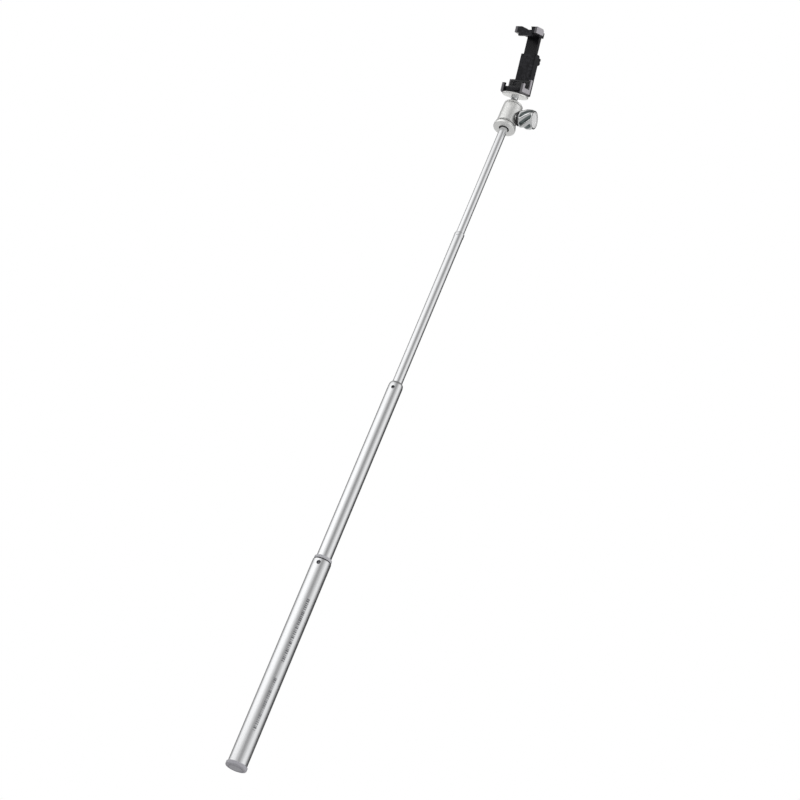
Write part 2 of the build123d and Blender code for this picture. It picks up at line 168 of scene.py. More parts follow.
seen = add(sky, "ShaderNodeLightPath").outputs["Is Camera Ray"]
both = add(sky, "ShaderNodeMixShader", {0: seen, 1: surroundings.outputs[0], 2: backdrop.outputs[0]})
add(sky, "ShaderNodeOutputWorld", {"Surface": both.outputs[0]})


def softbox(name, place, size, power):
    """A square panel light aimed at the middle of the stick."""
    light = bpy.data.lights.new(name, "AREA")
    light.size = size
    light.energy = power
    made = bpy.data.objects.new(name, light)
    made.visible_glossy = False
    scene.collection.objects.link(made)
    aim = (cad_box[0] + cad_box[1]) / 2 - Vector(place)
    made.matrix_world = Matrix.Translation(place) @ aim.to_track_quat("-Z", "Y").to_matrix().to_4x4()


softbox("key_panel", (-2.2, -1.8, 2.4), 1.6, 40)
softbox("fill_panel", (2.6, -0.6, 1.9), 1.4, 30)

floor_mesh = bpy.data.meshes.new("floor")
floor_shape = bmesh.new()
bmesh.ops.create_grid(floor_shape, x_segments=1, y_segments=1, size=FLOOR_SIZE)
bmesh.ops.translate(floor_shape, verts=floor_shape.verts, vec=(0, 0, cad_box[0].z - FLOOR_DROP))
floor_shape.to_mesh(floor_mesh)
floor_shape.free()
floor = bpy.data.objects.new("floor", floor_mesh)
scene.collection.objects.link(floor)
floor_paint = bpy.data.materials.new("pale_floor")
floor_paint.use_nodes = True
floor_tree = floor_paint.node_tree
floor_tree.nodes.clear()
pale = add(floor_tree, "ShaderNodeBsdfPrincipled", {
    "Base Color": FLOOR_COLOUR, "Roughness": 0.7,
    "Emission Color": (1, 1, 1, 1), "Emission Strength": FLOOR_GLOW,
})
underneath = add(floor_tree, "ShaderNodeNewGeometry").outputs["Backfacing"]
clear = add(floor_tree, "ShaderNodeBsdfTransparent")
one_way = add(floor_tree, "ShaderNodeMixShader", {0: underneath, 1: pale.outputs[0], 2: clear.outputs[0]})
add(floor_tree, "ShaderNodeOutputMaterial", {"Surface": one_way.outputs[0]})
floor_mesh.materials.append(floor_paint)
floor.visible_diffuse = False
floor.visible_glossy = False
floor.visible_shadow = False


# ---- end cap ----
# A grey rubber cap pushed into the foot of the handle.  It is moulded in one piece: a rounded
# flange a little wider than the tube, a ring groove in its face and a hollow plug inside.
GRAIN = bpy.data.node_groups.new("surface_grain", "ShaderNodeTree")
for label, kind in (("Coordinates", "Vector"), ("Stretch", "Vector"), ("Scale", "Float")):
    GRAIN.interface.new_socket(name=label, in_out="INPUT", socket_type="NodeSocket" + kind)
GRAIN.interface.new_socket(name="Value", in_out="OUTPUT", socket_type="NodeSocketFloat")
grain_in = add(GRAIN, "NodeGroupInput").outputs
stretched = add(GRAIN, "ShaderNodeVectorMath", {0: grain_in["Coordinates"], 1: grain_in["Stretch"]},
                operation="MULTIPLY").outputs[0]
speckle = add(GRAIN, "ShaderNodeTexNoise", {
    "Vector": stretched, "Scale": grain_in["Scale"], "Detail": 4.0, "Roughness": 0.65,
}).outputs[0]
add(GRAIN, "NodeGroupOutput", {"Value": speckle})

WEAR = bpy.data.node_groups.new("edge_wear", "ShaderNodeTree")
for label, kind in (("Coordinates", "Vector"), ("Amount", "Float")):
    WEAR.interface.new_socket(name=label, in_out="INPUT", socket_type="NodeSocket" + kind)
WEAR.interface.new_socket(name="Mask", in_out="OUTPUT", socket_type="NodeSocketFloat")
wear_in = add(WEAR, "NodeGroupInput").outputs
edges = add(WEAR, "ShaderNodeMapRange", {
    "Value": add(WEAR, "ShaderNodeNewGeometry").outputs["Pointiness"], "From Min": 0.52, "From Max": 0.62,
}).outputs[0]
patches = add(WEAR, "ShaderNodeMapRange", {
    "Value": add(WEAR, "ShaderNodeTexNoise", {"Vector": wear_in["Coordinates"], "Scale": 260.0}).outputs[0],
    "From Min": 0.4, "From Max": 0.65,
}).outputs[0]
rubbed = add(WEAR, "ShaderNodeMath", {0: edges, 1: patches}, operation="MULTIPLY").outputs[0]
worn = add(WEAR, "ShaderNodeMath", {0: rubbed, 1: wear_in["Amount"]}, operation="MULTIPLY", use_clamp=True)
add(WEAR, "NodeGroupOutput", {"Mask": worn.outputs[0]})


def surface(name, dark, light, roughness, metallic=0.0, scale=900.0, stretch=(1, 1, 1), relief=0.00002,
            spread=0.06, wear=0.2, worn_colour=None, turn=(0, 0, 0), centre=(0, 0, 0), **constants):
    """A grained material: two close colours, uneven gloss, fine relief and rubbed edges."""
    material = bpy.data.materials.new(name)
    material.use_nodes = True
    tree = material.node_tree
    tree.nodes.clear()
    place = add(tree, "ShaderNodeTexCoord").outputs["Object"]
    laid = add(tree, "ShaderNodeMapping", {"Vector": place, "Location": centre, "Rotation": turn},
               vector_type="TEXTURE").outputs[0]
    grain = add(tree, "ShaderNodeGroup", {"Coordinates": laid, "Stretch": stretch, "Scale": scale},
                node_tree=GRAIN).outputs[0]
    drift = add(tree, "ShaderNodeGroup", {"Coordinates": laid, "Stretch": (1, 1, 1), "Scale": 60.0},
                node_tree=GRAIN).outputs[0]
    tone = add(tree, "ShaderNodeMath", {0: grain, 1: drift}, operation="ADD").outputs[0]
    tone = add(tree, "ShaderNodeMapRange", {"Value": tone, "From Min": 0.4, "From Max": 1.6}).outputs[0]
    colour = add(tree, "ShaderNodeMix", {"Factor": tone, 6: (*dark, 1), 7: (*light, 1)}, data_type="RGBA")
    mask = add(tree, "ShaderNodeGroup", {"Coordinates": laid, "Amount": wear}, node_tree=WEAR).outputs[0]
    colour = add(tree, "ShaderNodeMix", {
        "Factor": mask, 6: colour.outputs[2], 7: (*(worn_colour or light), 1),
    }, data_type="RGBA")
    gloss = add(tree, "ShaderNodeMapRange", {
        "Value": grain, "From Min": 0.3, "From Max": 0.7,
        "To Min": roughness - spread, "To Max": roughness + spread,
    }).outputs[0]
    bump = add(tree, "ShaderNodeBump", {"Height": grain, "Distance": relief, "Strength": 1.0})
    shader = add(tree, "ShaderNodeBsdfPrincipled", {
        "Base Color": colour.outputs[2], "Roughness": gloss, "Normal": bump.outputs[0],
        "Metallic": metallic, **constants,
    })
    add(tree, "ShaderNodeOutputMaterial", {"Surface": shader.outputs[0]})
    return material


def outline(*corners, steps=5):
    """Points of a cross-section from (radius, height, rounding) corners; a rounding is an arc."""
    points = []
    for index, (radius, height, rounding) in enumerate(corners):
        here = Vector((radius, height))
        if not rounding:
            points.append(here)
            continue
        back = (Vector(corners[index - 1][:2]) - here).normalized()
        ahead = (Vector(corners[(index + 1) % len(corners)][:2]) - here).normalized()
        half = back.angle(ahead) / 2
        reach = rounding / math.tan(half)
        centre = here + (back + ahead).normalized() * rounding / math.sin(half)
        first = (here + back * reach - centre).normalized()
        last = (here + ahead * reach - centre).normalized()
        for step in range(steps + 1):
            points.append(centre + first.slerp(last, step / steps).normalized() * rounding)
    return points


def turned(name, section, place=Matrix(), around=128):
    """A closed mesh made by turning a closed cross-section about the local Z axis."""
    shape = bmesh.new()
    rings = []
    for radius, height in section:
        if radius < 1e-6:
            rings.append([shape.verts.new((0, 0, height))])
            continue
        angles = [2 * math.pi * step / around for step in range(around)]
        rings.append([shape.verts.new((radius * math.cos(a), radius * math.sin(a), height)) for a in angles])
    for inner, outer in zip(rings, rings[1:] + rings[:1]):
        for step in range(around):
            after = (step + 1) % around
            corners = [inner[step % len(inner)], inner[after % len(inner)],
                       outer[after % len(outer)], outer[step % len(outer)]]
            unique = list(dict.fromkeys(corners))
            if len(unique) > 2:
                shape.faces.new(unique)
    bmesh.ops.recalc_face_normals(shape, faces=shape.faces)
    bmesh.ops.transform(shape, matrix=place, verts=shape.verts)
    mesh = bpy.data.meshes.new(name)
    shape.to_mesh(mesh)
    shape.free()
    smooth(mesh)
    return mesh


def smooth(mesh, sharpest=math.radians(35)):
    """Smooth shading, with the edges past that angle kept sharp."""
    mesh.shade_smooth()
    mesh.set_sharp_from_angle(angle=sharpest)


def piece(name, mesh, body, finish_slot, material, *nodes):
    """Puts a finished mesh on its body, in place of the CAD nodes it stands for."""
    mesh.materials.clear()
    mesh.materials.append(material)
    made = bpy.data.objects.new(name, mesh)
    scene.collection.objects.link(made)
    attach(made, body)
    if nodes:
        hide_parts(*nodes)
    return made


CAP_EDGE = 0.0019
CAP_GROOVE = (0.0086, 0.0102, 0.0008)     # inner radius, outer radius, depth
CAP_WALL = 0.003
cap_low, cap_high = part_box("end_cap")
tube_low, tube_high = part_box("handle_tube")
bore = tube_high.x - 0.0015
cap_rubber = surface("cap_rubber", (0.38, 0.375, 0.405), (0.45, 0.445, 0.48), 0.5, scale=1400,
                     relief=0.000012, wear=0.5, worn_colour=(0.6, 0.6, 0.63))
groove_in, groove_out, groove_deep = CAP_GROOVE
piece("end_cap_rubber", turned("end_cap_rubber", outline(
    (0, cap_low.z, 0), (groove_in, cap_low.z, 0.0003), (groove_in, cap_low.z + groove_deep, 0.0002),
    (groove_out, cap_low.z + groove_deep, 0.0002), (groove_out, cap_low.z, 0.0003),
    (cap_high.x, cap_low.z, CAP_EDGE), (cap_high.x, tube_low.z, CAP_EDGE * 0.5), (bore, tube_low.z, 0),
    (bore, cap_high.z, 0.0006), (bore - CAP_WALL, cap_high.z, 0), (bore - CAP_WALL, tube_low.z - CAP_WALL, 0),
    (0, tube_low.z - CAP_WALL, 0),
)), "handle", "cap_rubber", cap_rubber, "end_cap")


# ---- handle tube ----
# The thickest of four drawn aluminium tubes, anodised silver over lengthwise brushing.  Its rim
# is rolled over, a round hole near the top lets the lock button of the next section come out,
# and two rows of plain laser marks run along its front.
def drilled(mesh, *cutters, operation="DIFFERENCE"):
    """The mesh with each cutter taken out of it, or joined to it."""
    for cutter in cutters:
        work = bpy.data.objects.new("work", mesh)
        tool = bpy.data.objects.new("tool", cutter)
        scene.collection.objects.link(work)
        scene.collection.objects.link(tool)
        cut = work.modifiers.new("cut", "BOOLEAN")
        cut.operation = operation
        cut.solver = "EXACT"
        cut.object = tool
        cut_mesh = bpy.data.meshes.new_from_object(work.evaluated_get(bpy.context.evaluated_depsgraph_get()))
        bpy.data.objects.remove(work)
        bpy.data.objects.remove(tool)
        mesh = cut_mesh
    smooth(mesh)
    return mesh


def button_hole(radius, wall, height):
    """A round cutter through a tube's front wall, with a small countersink at the outside."""
    place = Matrix.Translation((0, 0, height)) @ Matrix.Rotation(math.pi / 2, 4, "X")
    flare = 0.0003
    return turned("button_hole", [
        Vector(point) for point in ((0, wall * 0.6), (radius, wall * 0.6), (radius, wall - flare),
                                    (radius + flare * 2, wall + flare), (0, wall + flare))
    ], place, around=48)


HOLE_MARGIN = 0.005
RIM_ROUND = 0.0011
LOCK_HOLE = 0.0026
_, button_2_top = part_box("section_2_lock_button")
button_2_z = (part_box("section_2_lock_button")[0].z + button_2_top.z) / 2

DRAWN = (1, 1, 0.006)     # brushing drawn out along the tube
handle_aluminium = surface("handle_aluminium", (0.77, 0.775, 0.785), (0.83, 0.835, 0.845), 0.27, metallic=1.0,
                           scale=2600, stretch=DRAWN, relief=0.0000015, spread=0.03, wear=0.25)


def laser_marks(material, facing, radius, rows, pitch=0.0026, half_width=0.0019):
    """Adds rows of grey dashes along a tube, at one heading, over the material's colour and gloss."""
    tree = material.node_tree
    where = add(tree, "ShaderNodeSeparateXYZ", {0: add(tree, "ShaderNodeTexCoord").outputs["Object"]}).outputs
    angle = add(tree, "ShaderNodeMath", {0: where[1], 1: where[0]}, operation="ARCTAN2").outputs[0]
    off = add(tree, "ShaderNodeMath", {0: angle, 1: facing}, operation="SUBTRACT").outputs[0]
    off = add(tree, "ShaderNodeMath", {0: off}, operation="ABSOLUTE").outputs[0]
    inside = add(tree, "ShaderNodeMath", {0: off, 1: half_width / radius}, operation="LESS_THAN").outputs[0]
    steps = add(tree, "ShaderNodeMath", {0: where[2], 1: pitch}, operation="DIVIDE").outputs[0]
    cell = add(tree, "ShaderNodeMath", {0: steps}, operation="FLOOR").outputs[0]
    chance = add(tree, "ShaderNodeTexWhiteNoise", {"W": cell}, noise_dimensions="1D").outputs["Value"]
    width = add(tree, "ShaderNodeMapRange", {"Value": chance, "To Min": 0.25, "To Max": 0.8}).outputs[0]
    along = add(tree, "ShaderNodeMath", {0: steps}, operation="FRACT").outputs[0]
    dash = add(tree, "ShaderNodeMath", {0: along, 1: width}, operation="LESS_THAN").outputs[0]
    for low, high in rows:
        middle, reach = (low + high) / 2, (high - low) / 2
        near = add(tree, "ShaderNodeMath", {0: where[2], 1: middle, 2: reach}, operation="COMPARE").outputs[0]
        marked = add(tree, "ShaderNodeMath", {0: near, 1: inside}, operation="MULTIPLY").outputs[0]
        marked = add(tree, "ShaderNodeMath", {0: marked, 1: dash}, operation="MULTIPLY").outputs[0]
        overlay(material, marked, (0.16, 0.16, 0.17), Roughness=0.6, Metallic=0.2)


def overlay(material, mask, colour, **levels):
    """Lays a colour, and levels for other sockets of the shader, over a material where a mask is 1."""
    tree = material.node_tree
    shader = next(node for node in tree.nodes if node.type == "BSDF_PRINCIPLED")
    before = shader.inputs["Base Color"].links[0].from_socket
    mixed = add(tree, "ShaderNodeMix", {"Factor": mask, 6: before, 7: (*colour, 1)}, data_type="RGBA")
    tree.links.new(mixed.outputs[2], shader.inputs["Base Color"])
    for name, level in levels.items():
        socket = shader.inputs[name]
        start = socket.links[0].from_socket if socket.is_linked else socket.default_value
        tree.links.new(add(tree, "ShaderNodeMix", {0: mask, 2: start, 3: level}).outputs[0], socket)


# Painted shade: the dark grey laid into groove floors and joints, where shade would fall.
GROOVE_SHADE_GREY = (0.10, 0.10, 0.11)


def paint_groove_shade(material, bands):
    """Paints shade into the floors of turned grooves, which lie between (lowest, highest) heights: a dark grey
    laid over the material there.
    """
    tree = material.node_tree
    place = add(tree, "ShaderNodeTexCoord").outputs["Object"]
    level = add(tree, "ShaderNodeSeparateXYZ", {0: place}).outputs[2]
    for low, high in bands:
        inside = add(tree, "ShaderNodeMath", {0: level, 1: (low + high) / 2, 2: (high - low) / 2},
                     operation="COMPARE").outputs[0]
        overlay(material, inside, GROOVE_SHADE_GREY)


RIM_SHADE = 0.0010
# Painted shade: a dark grey band at the handle's rim, under the collar's lip.
paint_groove_shade(handle_aluminium, [(tube_high.z - RIM_SHADE, tube_high.z + RIM_SHADE)])
laser_marks(handle_aluminium, math.radians(-58), tube_high.x, [(0.047, 0.116), (0.136, 0.223)])
handle = turned("handle_tube_drawn", outline(
    (bore, tube_low.z, 0), (tube_high.x, tube_low.z, 0.0002), (tube_high.x, button_2_z - HOLE_MARGIN, 0),
    (tube_high.x, tube_high.z, RIM_ROUND), (bore, tube_high.z, 0.0002), (bore, button_2_z - HOLE_MARGIN, 0),
))
piece("handle_tube_drawn", drilled(handle, button_hole(LOCK_HOLE, tube_high.x, button_2_z)),
      "handle", "handle_aluminium", handle_aluminium, "handle_tube")


# ---- handle collar ----
# A light grey moulded collar pressed into the top of the handle.  Its long sleeve guides the
# second tube and its lip covers the handle's rim; the button's hole goes through both.
COLLAR_GAP = 0.0007       # shadow groove between the handle's rim and the collar's lip
collar_low, collar_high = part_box("handle_collar")
slide_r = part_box("section_2_tube")[1].x + 0.00005
sleeve_r = bore - 0.00005
collar_plastic = surface("collar_plastic", (0.42, 0.42, 0.445), (0.55, 0.55, 0.575), 0.42, scale=1200,
                         relief=0.000012, wear=0.4, worn_colour=(0.7, 0.7, 0.72))
# Painted shade: a dark grey band on the collar in the groove above the handle's rim.
paint_groove_shade(collar_plastic, [(tube_high.z, tube_high.z + COLLAR_GAP)])
collar = turned("handle_collar_moulded", outline(
    (slide_r, collar_low.z, 0.0003), (sleeve_r, collar_low.z, 0.0005), (sleeve_r, tube_high.z, 0),
    (collar_high.x - COLLAR_GAP, tube_high.z, 0), (collar_high.x - COLLAR_GAP, tube_high.z + COLLAR_GAP, 0),
    (collar_high.x, tube_high.z + COLLAR_GAP, 0.0002), (collar_high.x, collar_high.z, 0.0011),
    (slide_r, collar_high.z, 0.0005),
))
piece("handle_collar_moulded", drilled(collar, button_hole(LOCK_HOLE, tube_high.x, button_2_z)),
      "handle", "collar_plastic", collar_plastic, "handle_collar")


# ---- telescoping sections ----
# Three thinner drawn tubes.  Section 2 is swaged in at the top round the bush that guides
# section 3, section 3 has a rolled lip, and section 4 is plain up to the head.
tube_aluminium = surface("tube_aluminium", (0.77, 0.775, 0.785), (0.83, 0.835, 0.845), 0.25, metallic=1.0,
                         scale=2600, stretch=DRAWN, relief=0.0000015, spread=0.03, wear=0.2)
SHOULDER = 0.007
MOUTH = 0.0071
low_2, high_2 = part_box("section_2_tube")
low_3, high_3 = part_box("section_3_tube")
low_4, high_4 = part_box("section_4_tube")
button_3_z = sum(corner.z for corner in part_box("section_3_lock_button")) / 2
bore_2 = high_2.x - 0.0013
shoulder_z = high_2.z - SHOULDER
swage = interpolate_bezier(
    (high_2.x, shoulder_z), (high_2.x, shoulder_z + 0.0046), (0.0085, high_2.z), (MOUTH, high_2.z), 14)
slide_3 = 0.00672
section_2 = [Vector(point) for point in (
    (bore_2, low_2.z), (high_2.x, low_2.z), (high_2.x, button_2_z - HOLE_MARGIN),
    (high_2.x, button_2_z + HOLE_MARGIN), (high_2.x, button_3_z - HOLE_MARGIN),
    *swage, (slide_3, high_2.z - 0.0004), (slide_3, shoulder_z + 0.004), (bore_2, shoulder_z),
    (bore_2, button_3_z - HOLE_MARGIN), (bore_2, button_2_z + HOLE_MARGIN), (bore_2, button_2_z - HOLE_MARGIN),
)]
section_2_mesh = drilled(turned("section_2_drawn", section_2), button_hole(0.00245, high_2.x, button_2_z),
                         button_hole(0.0023, high_2.x, button_3_z))
piece("section_2_drawn", section_2_mesh, "section_2", "tube_aluminium", tube_aluminium, "section_2_tube")

tube_3 = high_3.x - 0.00025
bore_3 = tube_3 - 0.0007
slide_4 = high_4.x + 0.00005
section_3_mesh = turned("section_3_drawn", outline(
    (bore_3, low_3.z, 0), (tube_3, low_3.z, 0), (tube_3, button_3_z + HOLE_MARGIN, 0),
    (tube_3, high_3.z - 0.006, 0.0004), (high_3.x, high_3.z - 0.0053, 0.0003),
    (high_3.x, high_3.z, 0.0009), (slide_4, high_3.z, 0.0002), (slide_4, high_3.z - 0.005, 0),
    (bore_3, high_3.z - 0.0053, 0), (bore_3, button_3_z + HOLE_MARGIN, 0),
))
piece("section_3_drawn", drilled(section_3_mesh, button_hole(0.00205, tube_3, button_3_z)),
      "section_3", "tube_aluminium", tube_aluminium, "section_3_tube")

neck_4 = high_4.x - 0.00038
bore_4 = high_4.x - 0.001
neck_top = high_3.z - 0.0053
piece("section_4_drawn", turned("section_4_drawn", outline(
    (bore_4, low_4.z, 0), (neck_4, low_4.z, 0), (neck_4, neck_top, 0), (high_4.x, neck_top, 0.0002),
    (high_4.x, high_4.z, 0), (bore_4, high_4.z, 0),
)), "section_4_head", "tube_aluminium", tube_aluminium, "section_4_tube")


# ---- bushes ----
# Black acetal rings that carry the sliding tubes: one plugged into the foot of sections 2 and
# 3, one in the mouth of section 2 and a slit sleeve in which section 4 rubs.
def finish_node(material, *nodes):
    """Gives CAD nodes whose shape is right their material."""
    for node in nodes:
        data = frame["nodes"][node].data
        for index in range(len(data.materials)):
            data.materials[index] = material


bush_plastic = surface("bush_plastic", (0.014, 0.014, 0.015), (0.022, 0.022, 0.024), 0.38, scale=1500,
                       relief=0.00001, wear=0.3, worn_colour=(0.05, 0.05, 0.05))
finish_node(bush_plastic, "section_2_foot_bush", "section_2_top_bush", "section_3_foot_bush",
            "friction_sleeve", "ball_cup")


# ---- lock buttons and springs ----
# Each tube is held out by a domed steel pin on a folded leaf spring.  The pin is tumbled
# bright; the strip keeps its grey mill finish.
button_steel = surface("button_steel", (0.10, 0.10, 0.11), (0.17, 0.17, 0.18), 0.34, metallic=1.0, scale=2200,
                       relief=0.000004, wear=0.5, worn_colour=(0.35, 0.35, 0.36))
spring_steel = surface("spring_steel", (0.30, 0.30, 0.32), (0.42, 0.42, 0.45), 0.32, metallic=1.0, scale=1800,
                       stretch=(1, 1, 0.02), relief=0.000004, wear=0.3)
finish_node(button_steel, "section_2_lock_button", "section_3_lock_button")
finish_node(spring_steel, "section_2_lock_spring", "section_3_lock_spring")


# ---- head body ----
# The ball head's body is turned from bar, bead-blasted and anodised: a flared foot, two fine
# grooves, a plain barrel and, on one side, the boss that carries the lock knob's screw.
def extent(node, place):
    """The lowest and highest corner of a CAD node, measured in a frame of its own."""
    back = place.inverted()
    corners = [back @ vertex.co for vertex in frame["nodes"][node].data.vertices]
    low, high = (Vector([pick(corner[axis] for corner in corners) for axis in range(3)]) for pick in (min, max))
    return low, high


knob_joint = next(joint for joint in frame["joints"] if joint["name"] == "head_knob_turn")
knob_heading = math.atan2(knob_joint["axis"][1], knob_joint["axis"][0])
HEAD = Matrix.Rotation(knob_heading, 4, "Z")
body_low, body_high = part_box("head_body")
foot_r = body_high.x
foot_z, body_top = body_low.z, body_high.z
barrel_r = foot_r - 0.0018
recess_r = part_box("head_grommet")[1].x + 0.00005
recess_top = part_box("head_grommet")[1].z
chamber_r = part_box("ball_cup")[1].x + 0.0001
chamber_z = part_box("ball_cup")[0].z - 0.0001
knob_z = sum(corner.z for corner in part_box("lock_knob")) / 2
KNOB = Matrix.Translation((0, 0, knob_z)) @ HEAD @ Matrix.Rotation(math.pi / 2, 4, "Y")

head_aluminium = surface("head_aluminium", (0.93, 0.93, 0.915), (0.96, 0.96, 0.945), 0.38, metallic=0.8,
                         scale=3000, relief=0.0000008, spread=0.02, wear=0.5, worn_colour=(0.95, 0.95, 0.94))


# Painted shade: dark grey bands in the two grooves of the foot and at the joint under the head collar.
paint_groove_shade(head_aluminium, [(foot_z + 0.0053, foot_z + 0.0064), (foot_z + 0.0078, foot_z + 0.0087),
                              (body_top - 0.0002, body_top + 0.0006)])
head_section = outline(
    (recess_r, foot_z, 0.0003), (foot_r, foot_z, 0.0009), (foot_r, foot_z + 0.0038, 0.0012),
    (foot_r - 0.0005, foot_z + 0.0053, 0.0003), (foot_r - 0.0017, foot_z + 0.0055, 0.0001),
    (foot_r - 0.0017, foot_z + 0.0063, 0.0001), (foot_r - 0.0007, foot_z + 0.0064, 0.0003),
    (foot_r - 0.0009, foot_z + 0.0077, 0.0003), (barrel_r - 0.0008, foot_z + 0.0078, 0.0001),
    (barrel_r - 0.0008, foot_z + 0.0086, 0.0001), (barrel_r + 0.0002, foot_z + 0.0087, 0.0003),
    (barrel_r, foot_z + 0.0105, 0), (barrel_r - 0.0001, body_top, 0.0006), (chamber_r, body_top, 0),
    (chamber_r, chamber_z, 0), (0.0055, chamber_z, 0), (0.0055, recess_top + 0.0056, 0),
    (0.0032, recess_top + 0.0056, 0), (0.0032, recess_top, 0), (recess_r, recess_top, 0), steps=4)
boss = turned("boss", outline((0, 0.0106, 0), (0.0064, 0.0106, 0), (0.0064, 0.0149, 0.0005), (0, 0.0149, 0)),
              KNOB, around=64)
boss_bore = turned("boss_bore", outline((0, 0.002, 0), (0.0026, 0.002, 0), (0.0026, 0.02, 0), (0, 0.02, 0)),
                   KNOB, around=48)
chamber_core = turned("chamber_core", outline(
    (0, chamber_z, 0), (chamber_r, chamber_z, 0), (chamber_r, body_top + 0.001, 0), (0, body_top + 0.001, 0)))
head_mesh = drilled(turned("head_body_turned", head_section), boss, operation="UNION")
head_mesh = drilled(head_mesh, chamber_core, boss_bore)
piece("head_body_turned", head_mesh, "section_4_head", "head_aluminium", head_aluminium, "head_body")


# ---- head collar ----
# A second turned ring screwed into the top of the body.  Its inside is the upper seat of the
# ball, and its mouth opens in a cone so that the stem can lean.
collar_head_low, collar_head_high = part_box("head_collar")
ball_z = collar_head_high.z - 0.010
SEAT_R = 0.0086
seat_heights = [0.0009 + (0.003 - 0.0009) * step / 5 for step in range(6)]
seat = [(math.sqrt(SEAT_R ** 2 - h ** 2), ball_z + h, 0) for h in seat_heights]
head_collar_section = outline(
    *seat, (0.00753, ball_z + 0.003, 0), (0.01158, collar_head_high.z, 0.0003),
    (collar_head_high.x - 0.0003, collar_head_high.z, 0.0012), (collar_head_high.x, body_top + 0.0009, 0.0002),
    (collar_head_high.x - 0.0007, body_top + 0.0006, 0), (collar_head_high.x - 0.0007, body_top, 0),
    (chamber_r - 0.00005, body_top, 0), (chamber_r - 0.00005, collar_head_low.z, 0),
)
piece("head_collar_turned", turned("head_collar_turned", head_collar_section), "section_4_head",
      "head_aluminium", head_aluminium, "head_collar")


# ---- grommet, washer and inner screws of the head ----
# A black rubber ring seals the foot round the tube, a rubber washer sits behind the knob, and
# inside are the adapter on the tube, the screw and the brass cone that presses the ball.
black_rubber = surface("black_rubber", (0.010, 0.010, 0.011), (0.02, 0.02, 0.021), 0.6, scale=1300,
                       relief=0.00003, wear=0.3, worn_colour=(0.05, 0.05, 0.05))
brass = surface("brass", (0.56, 0.40, 0.16), (0.72, 0.55, 0.25), 0.3, metallic=1.0, scale=1700,
                relief=0.000005, wear=0.4)
screw_steel = surface("screw_steel", (0.035, 0.035, 0.038), (0.07, 0.07, 0.075), 0.36, metallic=1.0,
                      scale=2400, relief=0.000008, wear=0.9, worn_colour=(0.3, 0.3, 0.31))
finish_node(black_rubber, "head_grommet", "knob_washer", "platform_pad")
finish_node(head_aluminium, "head_adapter")
finish_node(brass, "pressure_cone", "threaded_insert", "lock_nut")
finish_node(screw_steel, "knob_screw", "platform_stud", "thumbscrew_shaft")


# ---- lock knob ----
# The knob that clamps the ball: a turned aluminium barrel with deep slanted flutes, with painted
# shade laid as a dark grey in the hollows of the flutes, and a shallow dish in its end.
KNOB_LOBES = 6
KNOB_DEPTH = 0.0030
KNOB_TWIST = 62.0         # turn of the flutes, radians per metre of length
knob_low, knob_high = extent("lock_knob", KNOB)
knob_near, knob_far = knob_low.z, knob_high.z


def flute_tree():
    """Geometry nodes that sink slanted flutes into the side of a part turned about Z."""
    tree = bpy.data.node_groups.new("slanted_flutes", "GeometryNodeTree")
    tree.interface.new_socket(name="Geometry", in_out="INPUT", socket_type="NodeSocketGeometry")
    for label in ("Lobes", "Depth", "Twist", "Start", "End", "Fade", "Sharpness", "Core"):
        tree.interface.new_socket(name=label, in_out="INPUT", socket_type="NodeSocketFloat")
    tree.interface.new_socket(name="Material", in_out="INPUT", socket_type="NodeSocketMaterial")
    tree.interface.new_socket(name="Geometry", in_out="OUTPUT", socket_type="NodeSocketGeometry")
    given = add(tree, "NodeGroupInput").outputs

    def maths(operation, *values, clamp=False):
        made = add(tree, "ShaderNodeMath", dict(enumerate(values)), operation=operation, use_clamp=clamp)
        return made.outputs[0]

    place = add(tree, "GeometryNodeInputPosition").outputs[0]
    x, y, z = add(tree, "ShaderNodeSeparateXYZ", {0: place}).outputs
    radius = add(tree, "ShaderNodeVectorMath", {0: add(tree, "ShaderNodeCombineXYZ", {0: x, 1: y}).outputs[0]},
                 operation="LENGTH").outputs["Value"]
    angle = maths("ARCTAN2", y, x)
    slant = maths("MULTIPLY", z, given["Twist"])
    phase = maths("MULTIPLY", maths("ADD", angle, slant), given["Lobes"])
    wave = maths("MULTIPLY_ADD", maths("COSINE", phase), 0.5, 0.5)
    hollow = maths("POWER", wave, given["Sharpness"])
    from_start = maths("DIVIDE", maths("SUBTRACT", z, given["Start"]), given["Fade"], clamp=True)
    from_end = maths("DIVIDE", maths("SUBTRACT", given["End"], z), given["Fade"], clamp=True)
    on_side = maths("GREATER_THAN", radius, given["Core"])
    held = maths("MULTIPLY", maths("MULTIPLY", from_start, from_end), on_side)
    sink = maths("MULTIPLY", maths("MULTIPLY", hollow, held), given["Depth"])
    share = maths("SUBTRACT", 1.0, maths("DIVIDE", sink, maths("MAXIMUM", radius, 1e-6)))
    moved = add(tree, "ShaderNodeCombineXYZ", {
        0: maths("MULTIPLY", x, share), 1: maths("MULTIPLY", y, share), 2: z,
    })
    noted = add(tree, "GeometryNodeStoreNamedAttribute", {
        "Geometry": given["Geometry"], "Name": "hollow", "Value": maths("MULTIPLY", hollow, held),
    })
    noted = add(tree, "GeometryNodeStoreNamedAttribute", {
        "Geometry": noted.outputs[0], "Name": "core", "Value": maths("SUBTRACT", 1.0, on_side),
    })
    fluted = add(tree, "GeometryNodeSetPosition", {"Geometry": noted.outputs[0], "Position": moved.outputs[0]})
    whole = add(tree, "GeometryNodeRealizeInstances", {"Geometry": fluted.outputs[0]})
    painted = add(tree, "GeometryNodeSetMaterial", {
        "Geometry": whole.outputs[0], "Material": given["Material"],
    })
    add(tree, "NodeGroupOutput", {"Geometry": painted.outputs[0]})
    return tree


